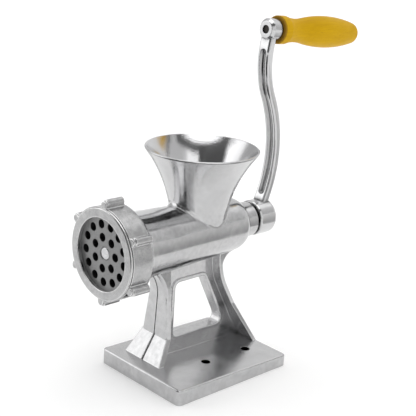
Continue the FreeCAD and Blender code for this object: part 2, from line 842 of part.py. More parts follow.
def auger():
    """Feed screw with its rear journal and the square end that carries the crank."""
    core, shank = "auger_core_diameter / 2", "stud_shank_diameter / 2 + press_gap"
    shank_end = f"{AUGER_FRONT} + stud_shank_length + seat_gap"
    disc_front = f"({AUGER_REAR} - auger_disc_thickness)"
    tapped = "crank_screw_diameter / 2 + press_gap"
    tapped_end = f"{SCREW_HEAD_SEAT} - crank_screw_length - seat_gap"
    body = turned("auger", [
        (AUGER_FRONT, shank),
        (AUGER_FRONT, core),
        (disc_front, core),
        (disc_front, "flight_diameter / 2"),
        (AUGER_REAR, "flight_diameter / 2"),
        (AUGER_REAR, "journal_diameter / 2"),
        (HUB_FRONT, "journal_diameter / 2"),
        (HUB_FRONT, tapped),
        (tapped_end, tapped),
        (tapped_end, "0"),
        (shank_end, "0"),
        (shank_end, shank),
    ])
    square = sketch_on(body, "XZ_Plane", "ShaftSquare", off=f"-({HUB_FRONT})")
    add_square(square, "shaft_square")
    add_circle(square, "0", "0", f"2 * ({tapped})")
    pad(body, square, f"{SHAFT_END} - {HUB_FRONT}", backwards=True)
    flight = sketch_on(body, "YZ_Plane", "FlightSection")
    root, tip = "flight_root_width", "(flight_root_width - flight_tip_width) / 2"
    foot = "auger_core_diameter / 2 - running_gap"
    add_outline(flight, [
        (AUGER_FRONT, foot),
        (f"{AUGER_FRONT} + {root}", foot),
        (f"{AUGER_FRONT} + {root} - {tip}", "flight_diameter / 2"),
        (f"{AUGER_FRONT} + {tip}", "flight_diameter / 2"),
    ])
    helix = body.newObject("PartDesign::AdditiveHelix", "Flight")
    helix.Profile = flight
    helix.ReferenceAxis = (flight, ["H_Axis"])
    helix.Mode = "pitch-height-angle"
    helix.LeftHanded = True
    bind(helix, "Pitch", "flight_pitch")
    bind(helix, "Height", f"{disc_front} - {AUGER_FRONT} - flight_root_width / 2")
    return body


# Crank

def arm_path(start_height, end_height):
    """Middle line of the arm in side view: two arcs that meet at the turn, between two heights."""
    turn = (f"{HUB_FRONT} + arm_turn_offset", "axis_height + arm_turn_height")
    lean = "(cos(arm_turn_angle))", "(sin(arm_turn_angle))"

    def radius_to(offset, height):
        along, up = f"(arm_turn_offset - ({offset}))", f"(arm_turn_height - ({height}))"
        return f"(({along} ^ 2 + {up} ^ 2) / (2 * abs({along} * {lean[0]} + {up} * {lean[1]})))"

    low, high = radius_to("arm_start_offset", "0"), radius_to("arm_top_offset", "crank_throw")

    def point_at(height, radius, side):
        middle = f"(arm_turn_height {side} {radius} * {lean[1]})"
        bow = f"sqrt({radius} ^ 2 - (({height}) - {middle}) ^ 2) - {radius} * {lean[0]}"
        sign = "+" if side == "-" else "-"
        return f"{turn[0]} {sign} ({bow})", f"axis_height + ({height})"

    return [
        (*point_at(start_height, low, "-"), low),
        (*turn, f"-{high}"),
        point_at(end_height, high, "+"),
    ]


def swept_along(body, name, kind, heights, corners):
    """A section of (across X, outward) corners swept along the arm's middle line."""
    path = sketch_on(body, "YZ_Plane", name + "Path")
    add_path(path, arm_path(*heights))
    DOC.recompute()
    section = body.newObject("Sketcher::SketchObject", name + "Section")
    section.AttachmentSupport = [(path, "Edge1")]
    section.MapMode = "NormalToEdge"
    add_outline(section, corners)
    pipe = body.newObject(kind, name)
    pipe.Profile = section
    pipe.Spine = (path, ["Edge1", "Edge2"])
    return pipe


def crank_bar():
    """The curved arm, with a groove along its front face and another along its back."""
    body = new_body("crank_bar")
    half, deep = "arm_width / 2", "arm_thickness / 2"
    ends = ("hub_front_round", "crank_throw - top_boss_face_diameter / 3")
    swept_along(body, "Bar", "PartDesign::AdditivePipe", ends, [
        (f"-{half}", f"-{deep}"), (half, f"-{deep}"), (half, deep), (f"-{half}", deep),
    ])
    long_edge = number(body, "crank_throw / 4")
    round_edges(body, "BarEdges", "arm_edge_round", lambda edge: edge.Length > long_edge)
    bowl = "((groove_width ^ 2 / 4 + groove_depth ^ 2) / (2 * groove_depth))"
    for name, out, back in (("FrontGroove", "", "-"), ("BackGroove", "-", "")):
        side, other = f"{out}groove_width / 2", f"{back}groove_width / 2"
        groove = swept_along(body, name, "PartDesign::SubtractivePipe", ("groove_start", "groove_end"), [
            (side, f"{out}{deep}", f"-{bowl}"), (other, f"{out}{deep}"),
            (other, f"{out}2 * {deep}"), (side, f"{out}2 * {deep}"),
        ])
        path, edges = groove.Spine
        # The upper edge of the path starts at the top, which turns its section round
        for edge, outward in zip(edges, (out, back)):
            ball = body.newObject("PartDesign::SubtractiveSphere", name + "End")
            ball.AttachmentSupport = [(path, edge)]
            ball.MapMode = "NormalToEdge"
            bind(ball, "Radius", bowl)
            bind(ball, "AttachmentOffset.Base.y", f"{outward}({deep} + {bowl} - groove_depth) * 1 mm")
    return body


def crank_hub():
    return turned("crank_hub", [
        (HUB_FRONT, "0"),
        (HUB_FRONT, "hub_diameter / 2 - hub_front_round", "-hub_front_round"),
        (f"{HUB_FRONT} + hub_front_round", "hub_diameter / 2"),
        (f"{HUB_BACK} - hub_back_round", "hub_diameter / 2", "-hub_back_round"),
        (HUB_BACK, "hub_diameter / 2 - hub_back_round"),
        (HUB_BACK, "0"),
    ])


def at_top_boss(name, profile):
    return turned(name, profile, ("0", TOP_FRONT, TOP_HEIGHT), "grip_droop")


def top_boss():
    bevel = "(top_boss_diameter - top_boss_face_diameter) / 2"
    return at_top_boss("top_boss", [
        ("0", "0"),
        ("0", "top_boss_face_diameter / 2"),
        (bevel, "top_boss_diameter / 2"),
        ("top_boss_length", "top_boss_diameter / 2"),
        ("top_boss_length", "0"),
    ])


def crank_arm():
    socket = new_body("crank_socket", ("0", "0", "axis_height"))
    square = sketch_on(socket, "XZ_Plane", "Socket", off=f"-({HUB_FRONT} + socket_depth)")
    add_square(square, "(shaft_square + 2 * shaft_gap)")
    pad(socket, square, "socket_depth + hub_gap")
    head = "crank_screw_head_diameter / 2 + running_gap"
    shank = "crank_screw_diameter / 2 + shaft_gap"
    seat = f"{SCREW_HEAD_SEAT} - spring_washer_thickness - 2 * seat_gap"
    screw_hole = turned("crank_screw_hole", [
        (HUB_FRONT, "0"),
        (HUB_FRONT, shank),
        (seat, shank),
        (seat, head),
        (f"{HUB_BACK} + hub_back_round", head),
        (f"{HUB_BACK} + hub_back_round", "0"),
    ])
    bolt_hole = at_top_boss("grip_bolt_hole", tube(
        "-top_boss_length", "2 * top_boss_length", "0", "grip_bolt_diameter + 2 * press_gap"))
    solid = fused("crank_solids", [crank_hub(), crank_bar(), top_boss()])
    return cut("crank_arm", solid, [socket, screw_hole, bolt_hole])


def slot_across(body, name, head_end):
    """A screwdriver slot across the end of a screw's head."""
    sketch = sketch_on(body, "XZ_Plane", name, off=f"-({head_end})")
    wide, half = "crank_screw_head_diameter", "screw_slot_width / 2"
    add_outline(sketch, [(f"-{wide}", f"-{half}"), (wide, f"-{half}"), (wide, half), (f"-{wide}", half)])
    feature = body.newObject("PartDesign::Pocket", name + "Pocket")
    feature.Profile = sketch
    feature.Reversed = True
    bind(feature, "Length", "screw_slot_depth")


def crank_screw():
    head_end = f"{SCREW_HEAD_SEAT} + crank_screw_head_height"
    body = turned("crank_screw", [
        (f"{SCREW_HEAD_SEAT} - crank_screw_length", "0"),
        (f"{SCREW_HEAD_SEAT} - crank_screw_length", "crank_screw_diameter / 2"),
        (SCREW_HEAD_SEAT, "crank_screw_diameter / 2"),
        (SCREW_HEAD_SEAT, "crank_screw_head_diameter / 2"),
        (head_end, "crank_screw_head_diameter / 2"),
        (head_end, "0"),
    ])
    slot_across(body, "CrankScrewSlot", head_end)
    return body


def crank_spring_washer():
    end = f"({SCREW_HEAD_SEAT} - seat_gap)"
    inner = "crank_screw_diameter + 2 * shaft_gap"
    outer = "crank_screw_head_diameter"
    body = turned("crank_spring_washer", tube(f"{end} - spring_washer_thickness", end, inner, outer))
    slit = sketch_on(body, "XZ_Plane", "WasherSlit")
    half = "spring_washer_slit / 2"
    add_outline(slit, [(f"-{half}", "0"), (half, "0"), (half, outer), (f"-{half}", outer)])
    pocket_through(body, slit)
    return body


# Grip

def grip():
    """Turned wooden grip that spins on its bolt."""
    bore = "grip_bolt_diameter / 2 + shaft_gap"
    head = "grip_bolt_head_diameter / 2 + running_gap"
    collar = "grip_collar_diameter / 2"
    body = at_top_boss("grip", [
        (GRIP_FRONT, "0"),
        (GRIP_FRONT, f"{collar} - grip_collar_bevel"),
        (f"{GRIP_FRONT} + grip_collar_bevel", collar),
        (f"{GRIP_FRONT} + grip_collar_length", collar, "grip_neck_curve"),
        (f"{GRIP_FRONT} + grip_neck_end", "grip_neck_diameter / 2", "-grip_swell_curve"),
        (GRIP_END, "grip_end_diameter / 2"),
        (GRIP_END, "0"),
    ])
    end_place = number(body, GRIP_END)
    round_edges(
        body, "GripEnd", "min(grip_end_round, 0.42 * grip_end_diameter)",
        lambda edge: edge.BoundBox.YMin > end_place - 0.01)
    hole = sketch_on(body, "YZ_Plane", "GripHole")
    seat, outside = f"{GRIP_BOLT_SEAT} - seat_gap", f"{GRIP_END} + grip_bolt_recess"
    add_outline(hole, [
        ("0", "0"), ("0", bore), (seat, bore), (seat, head), (outside, head), (outside, "0"),
    ])
    groove = body.newObject("PartDesign::Groove", "GripHoleGroove")
    groove.Profile = hole
    groove.ReferenceAxis = (hole, ["H_Axis"])
    return body


def grip_washer():
    return at_top_boss("grip_washer", tube(
        GRIP_WASHER_FRONT, f"{GRIP_WASHER_FRONT} + grip_washer_thickness",
        "grip_bolt_diameter + 2 * shaft_gap", "grip_washer_diameter"))


def grip_bolt():
    """Bolt through the grip, screwed into the crank's top boss until its end shows."""
    head_end = f"{GRIP_BOLT_SEAT} + grip_bolt_head_height"
    body = at_top_boss("grip_bolt", [
        ("top_boss_face_diameter / 12", "0"),
        ("top_boss_face_diameter / 12", "grip_bolt_diameter / 2"),
        (GRIP_BOLT_SEAT, "grip_bolt_diameter / 2"),
        (GRIP_BOLT_SEAT, "grip_bolt_head_diameter / 2"),
        (head_end, "grip_bolt_head_diameter / 2"),
        (head_end, "0"),
    ])
    slot_across(body, "GripBoltSlot", head_end)
    return body


def main():
    fill_sheet()
    sub_parts = [make() for make in (
        body_casting, rear_bush, thrust_washer, plate_key,
        auger, knife_stud, knife, grinding_plate, ring_nut,
        crank_arm, crank_screw, crank_spring_washer,
        grip_washer, grip_bolt, grip,
    )]
    DOC.recompute()
    failed = [item.Label for item in DOC.Objects if "Invalid" in item.State or "Error" in item.State]
    failed += [part.Label for part in sub_parts if part.Shape.isNull() or not part.Shape.isValid()]
    if failed:
        raise RuntimeError("failed: " + ", ".join(failed))
    os.makedirs("parts", exist_ok=True)
    for part in sub_parts:
        part.Shape.exportStep(f"parts/{part.Label}.step")
        print(part.Label, len(part.Shape.Solids), round(part.Shape.Volume, 1))


main()
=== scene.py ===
"""Finishes, light and camera for a hand crank meat grinder, as an add-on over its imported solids."""

import math

import bpy
from bpy.props import FloatProperty, FloatVectorProperty, PointerProperty
from mathutils import Matrix, Vector

bl_info = {
    "name": "Hand Crank Meat Grinder",
    "version": (1, 0, 0),
    "blender": (4, 5, 0),
    "location": "3D View > Sidebar > Grinder",
    "description": "Dresses the packed solids of a hand crank meat grinder and sets up its studio",
    "category": "Object",
}

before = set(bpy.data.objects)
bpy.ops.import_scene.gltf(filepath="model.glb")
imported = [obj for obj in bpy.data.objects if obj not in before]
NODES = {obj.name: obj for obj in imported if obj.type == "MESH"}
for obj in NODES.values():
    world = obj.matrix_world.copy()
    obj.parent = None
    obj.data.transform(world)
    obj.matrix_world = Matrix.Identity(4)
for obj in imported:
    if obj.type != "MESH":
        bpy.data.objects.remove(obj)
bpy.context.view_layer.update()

# Places on the grinder, in metres. HOPPER_LEFT and HOPPER_FRONT are unit vectors from the hopper's axis
# to its left and to its front, as the photograph shows it

AXIS_HEIGHT = 0.0982
HOPPER_AXIS = (0.0, 0.0044, 0.0)
THROAT_TOP = 0.117
HOPPER_LEFT = (-0.7, -0.714, 0.0)
HOPPER_FRONT = (0.714, -0.7, 0.0)
# HOPPER_LIP gives the heights of the band of painted shade under the hopper's front lip
HOPPER_LIP = (0.1583, 0.1589)
BASE_TOP = (0.0075, 0.0125)
# Bolt holes in the base, whose walls get painted shade
BOLT_HOLES = ((0.0284, -0.0059, 0.0), (0.0284, 0.0339, 0.0))
BOLT_RADIUS = 0.0032
GRIP_FRONT = (0.0, 0.0697, 0.2374)
GRIP_DROOP = math.radians(4.6)

# Rings that a lathe tool leaves on turned metal

RINGS_PER_METRE = 5000.0

# The camera that the photograph was taken with, in metres and degrees

CAMERA_PLACE = (0.495851, -0.477195, 0.337194)
CAMERA_AZIMUTH, CAMERA_ELEVATION, CAMERA_ROLL = 45.276, 17.759, 3.914
CAMERA_LENS = 89.12

# Cards on the floor round the grinder, in metres and degrees: azimuth from and to, reach, height, and the
# shades of its foot and of its top

CARDS = {
    "dark_card": (-76.0, -9.0, 0.34, 0.2, 0.03, 0.03),
    "grey_card": (62.0, 125.0, 0.3, 0.17, 0.55, 0.95),
    "pale_card": (-178.0, -130.0, 0.3, 0.08, 0.7, 0.9),
}

# Parts of the room, each over the ones before it, in degrees: azimuth from and to, elevation from and to,
# half the width of its soft edge, and its brightness

ROOM = (
    (58.0, 105.0, -10.0, 58.0, 10.0, 0.66),
    (-172.0, -116.0, -8.0, 36.0, 9.0, 0.64),
    (27.0, 60.0, 0.0, 34.0, 8.0, 1.1),
    (112.0, 150.0, 39.0, 54.0, 5.0, 1.3),
    (-121.0, -79.0, 0.0, 45.0, 5.0, 1.75),
    (-74.0, -9.0, -8.0, 58.0, 4.0, 0.11),
    (-80.0, 82.0, 48.5, 58.0, 2.5, 0.14),
    (-11.0, 11.0, 36.0, 58.0, 3.0, 0.11),
    (15.0, 50.0, 36.0, 47.5, 2.5, 1.35),
    (-200.0, 200.0, 59.5, 120.0, 1.5, 1.9),
)

# Half the floor's side, in metres

FLOOR_REACH = 15.0


# Settings

def colour(name, description, default):
    return FloatVectorProperty(
        name=name, description=description, default=default, subtype="COLOR", size=3, min=0.0, max=1.0)


def share(name, description, default):
    return FloatProperty(
        name=name, description=description, default=default, subtype="FACTOR", min=0.0, max=1.0)


def length(name, description, default):
    return FloatProperty(
        name=name, description=description, default=default, subtype="DISTANCE", unit="LENGTH", min=0.0)


class GrinderFinish(bpy.types.PropertyGroup):
    """Colours and textures of the grinder's surfaces."""

    casting_pale: colour("Casting, pale", "Brighter patches of the cast metal", (0.60, 0.60, 0.605))
    casting_dull: colour("Casting, dull", "Duller patches of the cast metal", (0.53, 0.53, 0.535))
    # Colour of the mottled spots, also used for the painted shade on the hopper's right inside wall
    casting_mottle_and_shade: colour("Casting, mottled", "Darker spots in the casting's skin", (0.38, 0.38, 0.385))
    # Worn edges: rubbed bright metal, and also a painted highlight along the edges
    worn_and_highlit_metal: colour("Worn edges", "Bright metal on the casting's rubbed edges", (0.84, 0.84, 0.845))
    hopper_metal: colour("Hopper inside", "Polished metal inside the hopper", (0.66, 0.66, 0.67))
    casting_rough: share("Casting roughness", "Roughness of the satin casting", 0.155)
    polish_rough: share("Polish roughness", "Roughness of the hopper's inside", 0.1)
    cast_grain: length("Cast grain", "Size of the grain in the casting's skin", 0.0005)
    # Painted shade: the dark colour for creases, under the hopper's front lip and in the plate's holes, and
    # how far it spreads out of a crease
    painted_shade: colour("Crease dirt", "Dark metal where polishing doesn't reach", (0.10, 0.10, 0.10))
    painted_shade_reach: length("Dirt reach", "How far the dark metal spreads out of a crease", 0.003)
    # Painted shade on the walls of the base's bolt holes
    hole_shade: colour("Bolt holes", "Dark walls of the base's bolt holes", (0.02, 0.02, 0.02))
    edge_softness: length("Edge softness", "Radius that casting leaves on every edge", 0.0009)
    # Share of the edge tint, which is partly wear and partly painted highlight
    edge_wear_and_highlight: share("Edge wear", "How much bright metal shows on the rubbed edges of casting and ring", 0.8)
    ring_dull: colour("Ring, dull", "Duller patches of the ring nut", (0.38, 0.38, 0.385))
    ring_pale: colour("Ring, pale", "Brighter patches of the ring nut", (0.53, 0.53, 0.53))
    ring_speck: colour("Ring specks", "Dark specks in the ring nut's blasted skin", (0.3, 0.3, 0.3))
    # Ring edges: rubbed bright metal, and also a painted highlight along the edges
    ring_worn_and_highlit: colour("Ring edges", "Bright metal on the ring nut's rubbed edges", (0.92, 0.92, 0.92))
    ring_rough: share("Ring roughness", "Roughness of the ring nut", 0.22)
    crank_bright: colour("Crank metal", "Polished metal of the crank arm", (0.58, 0.58, 0.585))
    crank_dull: colour("Crank, dull", "Duller patches of the crank arm", (0.58, 0.58, 0.59))
    crank_pit: colour("Crank pits", "Small pits in the crank arm's skin", (0.36, 0.36, 0.36))
    # Painted shade in the crank arm's groove, standing for a dark reflection
    crank_groove_shade: colour("Crank groove", "Unpolished metal in the crank arm's groove", (0.05, 0.05, 0.05))
    crank_rough: share("Crank roughness", "Roughness of the polished crank arm", 0.09)
    plate_steel: colour("Plate steel", "Ground steel of the holed plate", (0.22, 0.22, 0.22))
    plate_grain: colour("Plate grain", "Pale grain in the holed plate's steel", (0.42, 0.42, 0.42))
    bright_steel: colour("Bright steel", "Turned steel of stud, key, screw and washers", (0.72, 0.72, 0.73))
    knife_steel: colour("Knife steel", "Oiled steel of the knife", (0.16, 0.16, 0.16))
    dark_steel: colour("Dark steel", "Dulled steel of the grip's bolt", (0.05, 0.046, 0.042))
    bush_iron: colour("Bush iron", "Oiled iron of the rear bush", (0.06, 0.06, 0.065))
    grip_pale: colour("Grip, pale", "Pale streaks of the varnished grip", (0.665, 0.395, 0.006))
    grip_deep: colour("Grip, deep", "Deep streaks of the varnished grip", (0.545, 0.305, 0.004))
    grip_pore: colour("Grip pores", "Dark pores of the grip's wood", (0.36, 0.17, 0.01))
    # Brown of the band at the grip's end next to the arm
    grip_brown: colour("Grip, bare end", "Bare end grain next to the crank arm", (0.23, 0.12, 0.02))


class GrinderStudio(bpy.types.PropertyGroup):
    """Floor, light and lens of the studio."""

    floor: colour("Floor", "Colour of the plain floor", (0.93, 0.93, 0.93))
    floor_glow: share("Floor glow", "Light that comes up through the floor, so that shadows stay pale", 0.14)
    room: FloatProperty(name="Room light", description="Brightness of the white room", default=0.9, min=0.0)
    lens: FloatProperty(
        name="Lens", description="Focal length of the camera, in millimetres", default=CAMERA_LENS,
        unit="CAMERA", min=1.0)


# Node trees

class Nodes:
    """A node tree with short calls for the nodes that the finishes and the room share."""

    def __init__(self, tree):
        self.tree = tree

    def add(self, kind, inputs=None, **settings):
        node = self.tree.nodes.new(kind)
        for name, value in settings.items():
            setattr(node, name, value)
        for name, value in (inputs or {}).items():
            self.feed(node.inputs[name], value)
        return node

    def feed(self, socket, value):
        if isinstance(value, bpy.types.NodeSocket):
            self.tree.links.new(value, socket)
        else:
            socket.default_value = value

    def math(self, operation, *values):
        return self.add("ShaderNodeMath", dict(enumerate(values)), operation=operation).outputs[0]

    def vector(self, operation, *values):
        node = self.add("ShaderNodeVectorMath", dict(enumerate(values)), operation=operation)
        return node.outputs["Value" if operation in ("DOT_PRODUCT", "LENGTH") else "Vector"]

    def step(self, value, low, high):
        """0 below low, 1 above high and a smooth rise between; low may be the larger."""
        return self.add("ShaderNodeMapRange", {"Value": value, "From Min": low, "From Max": high},
                        interpolation_type="SMOOTHSTEP").outputs["Result"]

    def between(self, value, low, high, soft):
        rise = self.step(value, low - soft, low + soft)
        return self.math("MULTIPLY", rise, self.step(value, high + soft, high - soft))

    def spread(self, value, low, high):
        """Turns a noise, which mostly lies near the middle, into numbers from low to high."""
        ends = {"Value": value, "From Min": 0.3, "From Max": 0.7, "To Min": low, "To Max": high}
        return self.add("ShaderNodeMapRange", ends).outputs["Result"]

    def blend(self, share_of_b, a, b):
        return self.add("ShaderNodeMix", {0: share_of_b, 2: a, 3: b}).outputs[0]

    def tint(self, share_of_b, a, b):
        return self.add("ShaderNodeMix", {0: share_of_b, 6: a, 7: b}, data_type="RGBA").outputs[2]


class Finish(Nodes):
    """A procedural material. Its sizes are in metres on the grinder itself."""

    def __init__(self, name, metallic):
        self.material = bpy.data.materials.new(name)
        self.material.use_nodes = True
        super().__init__(self.material.node_tree)
        self.surface = self.tree.nodes["Principled BSDF"]
        self.surface.inputs["Metallic"].default_value = metallic
        self.place = self.add("ShaderNodeTexCoord").outputs["Object"]
        self.x, self.y, self.z = self.add("ShaderNodeSeparateXYZ", {0: self.place}).outputs
        self.facing = self.add("ShaderNodeNewGeometry").outputs["Normal"]

    def set(self, **sockets):
        for name, value in sockets.items():
            self.feed(self.surface.inputs[name.replace("_", " ")], value)

    def noise(self, size, detail=3.0, stretch=(1.0, 1.0, 1.0), place=None):
        """Cloudy noise whose patches are about the size, and longer along an axis stretched above 1."""
        squeeze = tuple(1.0 / s for s in stretch)
        where = self.vector("MULTIPLY", place or self.place, squeeze)
        return self.add("ShaderNodeTexNoise", {
            "Vector": where, "Scale": 1.0 / size, "Detail": detail, "Roughness": 0.55}).outputs[0]

    def soft_edges(self, radius):
        """The normal of the surface with its edges rounded off."""
        return self.add("ShaderNodeBevel", {"Radius": radius}, samples=6).outputs[0]

    def bump(self, height, depth, normal):
        """The normal, tipped as if the surface rose by the depth where the height is 1."""
        inputs = {"Height": height, "Distance": depth, "Strength": 1.0, "Normal": normal}
        return self.add("ShaderNodeBump", inputs).outputs[0]

    def worn_and_highlit_edge(self, soft):
        """1 on edges and 0 on open faces, from how far the softened normal leans off the face."""
        lean = self.vector("DOT_PRODUCT", soft, self.facing)
        return self.step(lean, 0.995, 0.93)

    def crease(self, reach, start=0.62, full=0.2):
        """1 deep in a crease or corner and 0 in the open, from how much is clear round within reach."""
        clear = self.add("ShaderNodeAmbientOcclusion", {"Distance": reach}, samples=8).outputs["AO"]
        return self.step(clear, start, full)

    def around(self, axis_point, axis):
        """Unit vector away from an axis through a point, at each place of the surface."""
        off = self.vector("SUBTRACT", self.place, axis_point)
        keep = tuple(0.0 if a else 1.0 for a in axis)
        return self.vector("NORMALIZE", self.vector("MULTIPLY", off, keep))


def rgba(value):
    return (*value, 1.0)


def dress(finish, *names):
    """Gives CAD nodes one finish."""
    for name in names:
        solid = NODES[name]
        solid.data.materials.clear()
        solid.data.materials.append(finish.material)


# Finishes

def satin_casting(settings):
    """Cast metal: satin outside, polished in the hopper, smeared and shiny on top of the base, with painted
    highlights on its edges and painted shade in its creases, bolt holes, under the hopper's front lip and on
    the hopper's right inside wall.
    """
    cast = Finish("satin_casting", 1.0)
    patches = cast.spread(cast.noise(size=0.014, detail=4.0), 0.0, 1.0)
    streaks = cast.noise(size=0.0016, detail=3.0, stretch=(1.0, 16.0, 1.0))
    smears = cast.noise(size=0.016, detail=2.0)
    soft = cast.soft_edges(settings.edge_softness)
    edges = cast.worn_and_highlit_edge(soft)

    # Where a place lies: inside the hopper, to its left, on its front lip, on the base, or on the open skin
    from_axis = cast.around(HOPPER_AXIS, (0, 0, 1))
    inward = cast.vector("DOT_PRODUCT", from_axis, cast.facing)
    in_hopper = cast.math("MULTIPLY", cast.step(inward, 0.1, -0.1),
                          cast.step(cast.z, THROAT_TOP - 0.002, THROAT_TOP + 0.002))
    leftward = cast.vector("DOT_PRODUCT", from_axis, HOPPER_LEFT)
    near = cast.step(cast.vector("DOT_PRODUCT", from_axis, HOPPER_FRONT), -0.2, 0.3)
    lip = cast.math("MULTIPLY", cast.between(cast.z, *HOPPER_LIP, soft=0.0002), near)
    up = cast.vector("DOT_PRODUCT", cast.facing, (0.0, 0.0, 1.0))
    on_base = cast.math("MULTIPLY", cast.step(up, 0.9, 0.97), cast.between(cast.z, *BASE_TOP, soft=0.0005))
    in_base = cast.step(cast.z, BASE_TOP[1] + 0.001, BASE_TOP[1])
    smooth = cast.math("MAXIMUM", in_hopper, cast.math("MULTIPLY", on_base, 0.8))
    open_skin = cast.math("SUBTRACT", 1.0, smooth)
    under_hopper = cast.blend(cast.step(cast.z, THROAT_TOP + 0.008, THROAT_TOP - 0.006), 0.3, 1.0)

    # Colour, with painted highlights on the edges and painted shade
    metal = cast.tint(patches, rgba(settings.casting_dull), rgba(settings.casting_pale))
    spots = cast.spread(cast.noise(size=0.0036, detail=2.0), 0.0, 0.45)
    mottle = cast.math("MULTIPLY", cast.math("MULTIPLY", spots, open_skin), under_hopper)
    metal = cast.tint(mottle, metal, rgba(settings.casting_mottle_and_shade))
    # Edges: rubbed bright metal and a painted highlight
    metal = cast.tint(cast.math("MULTIPLY", edges, settings.edge_wear_and_highlight), metal, rgba(settings.worn_and_highlit_metal))
    metal = cast.tint(cast.math("MULTIPLY", in_hopper, 0.7), metal, rgba(settings.hopper_metal))
    # Painted shade in creases and corners, from how little is open round them
    crease_shade = cast.math("MULTIPLY", cast.crease(settings.painted_shade_reach), 0.75)
    metal = cast.tint(crease_shade, metal, rgba(settings.painted_shade))
    # Painted shade on the hopper's right inside wall, where its bright reflection fades
    right_side_shade = cast.math("MULTIPLY", cast.step(leftward, -0.58, -0.92), in_hopper)
    metal = cast.tint(cast.math("MULTIPLY", right_side_shade, 0.65), metal, rgba(settings.casting_mottle_and_shade))
    # Painted shade: a dark, uneven band under the hopper's front lip, only on its near half
    lip_shade = cast.math("MULTIPLY", lip, cast.spread(smears, 0.4, 1.0))
    metal = cast.tint(lip_shade, metal, rgba(settings.painted_shade))
    # Painted shade: near black on the walls of the base's bolt holes
    for centre in BOLT_HOLES:
        off = cast.vector("MULTIPLY", cast.vector("SUBTRACT", cast.place, centre), (1.0, 1.0, 0.0))
        wall = cast.step(cast.vector("LENGTH", off), BOLT_RADIUS + 0.0002, BOLT_RADIUS + 0.0001)
        metal = cast.tint(cast.math("MULTIPLY", wall, in_base), metal, rgba(settings.hole_shade))

    # Roughness, with the hopper's left and right duller than its middle
    rough = cast.spread(patches, settings.casting_rough - 0.05, settings.casting_rough + 0.06)
    rough = cast.math("ADD", rough, cast.spread(streaks, -0.03, 0.03))
    dull_sides = cast.math("ADD", cast.step(leftward, 0.6, 0.9), cast.step(leftward, -0.72, -0.95))
    polish = cast.blend(dull_sides, settings.polish_rough, settings.polish_rough + 0.12)
    rough = cast.blend(in_hopper, rough, polish)
    rough = cast.blend(on_base, rough, cast.spread(smears, 0.2, 0.27))
    rough = cast.math("SUBTRACT", rough, cast.math("MULTIPLY", edges, 0.04))

    # Skin: slow waves, grain with streaks, and the hopper's own fine grain
    grain = cast.noise(size=settings.cast_grain, detail=2.0)
    skin = cast.math("ADD", cast.math("MULTIPLY", streaks, 0.4), grain)
    skin = cast.math("MULTIPLY", skin, cast.math("MAXIMUM", open_skin, 0.4))
    hopper_grain = cast.math("MULTIPLY", cast.noise(size=0.0012, detail=2.0), in_hopper)
    normal = cast.bump(cast.noise(size=0.02, detail=1.0), depth=0.00022, normal=soft)
    normal = cast.bump(skin, depth=0.000012, normal=normal)
    normal = cast.bump(hopper_grain, depth=0.00005, normal=normal)
    cast.set(Base_Color=metal, Roughness=rough, Normal=normal)
    return cast


def blasted_ring(settings):
    """Ring nut: finely blasted metal, a little brighter on its edges, where hands have rubbed them and as a
    painted highlight.
    """
    ring = Finish("blasted_ring", 1.0)
    patches = ring.spread(ring.noise(size=0.004, detail=5.0), 0.0, 1.0)
    grain = ring.noise(size=0.00035, detail=2.0)
    speck = ring.step(ring.noise(size=0.0006, detail=1.0), 0.62, 0.72)
    soft = ring.soft_edges(radius=0.001)
    edges = ring.worn_and_highlit_edge(soft)
    metal = ring.tint(patches, rgba(settings.ring_dull), rgba(settings.ring_pale))
    metal = ring.tint(ring.math("MULTIPLY", speck, 0.5), metal, rgba(settings.ring_speck))
    # Edges: rubbed bright metal and a painted highlight
    metal = ring.tint(ring.math("MULTIPLY", edges, settings.edge_wear_and_highlight), metal, rgba(settings.ring_worn_and_highlit))
    # Painted shade in the ring's creases and corners
    crease_shade = ring.math("MULTIPLY", ring.crease(settings.painted_shade_reach), 0.6)
    metal = ring.tint(crease_shade, metal, rgba(settings.painted_shade))
    rough = ring.spread(patches, settings.ring_rough - 0.02, settings.ring_rough + 0.03)
    rough = ring.math("SUBTRACT", rough, ring.math("MULTIPLY", edges, 0.1))
    normal = ring.bump(grain, depth=0.00005, normal=soft)
    ring.set(Base_Color=metal, Roughness=rough, Normal=normal)
    return ring


def polished_crank(settings):
    """Crank arm: polished casting with soft swells, fine scratches, a few pits and painted shade in its
    groove.
    """
    crank = Finish("polished_crank", 1.0)
    patches = crank.spread(crank.noise(size=0.009, detail=4.0), 0.0, 1.0)
    scratches = crank.noise(size=0.0005, detail=2.0, stretch=(1.0, 1.0, 20.0))
    pits = crank.step(crank.noise(size=0.0011, detail=1.0), 0.68, 0.76)
    soft = crank.soft_edges(radius=0.0008)
    dulled = crank.math("MULTIPLY", patches, 0.3)
    metal = crank.tint(dulled, rgba(settings.crank_bright), rgba(settings.crank_dull))
    metal = crank.tint(crank.math("MULTIPLY", pits, 0.3), metal, rgba(settings.crank_pit))
    rough = crank.spread(patches, settings.crank_rough - 0.04, settings.crank_rough + 0.07)
    rough = crank.math("ADD", rough, crank.spread(scratches, -0.02, 0.03))
    # Painted shade in the groove, standing for a dark reflection
    groove = crank.crease(reach=0.004, start=0.96, full=0.76)
    metal = crank.tint(crank.math("MULTIPLY", groove, 0.92), metal, rgba(settings.crank_groove_shade))
    normal = crank.bump(crank.noise(size=0.008, detail=1.0), depth=0.0001, normal=soft)
    normal = crank.bump(crank.math("SUBTRACT", scratches, pits), depth=0.000008, normal=normal)
    crank.set(Base_Color=metal, Roughness=rough, Normal=normal)
    return crank


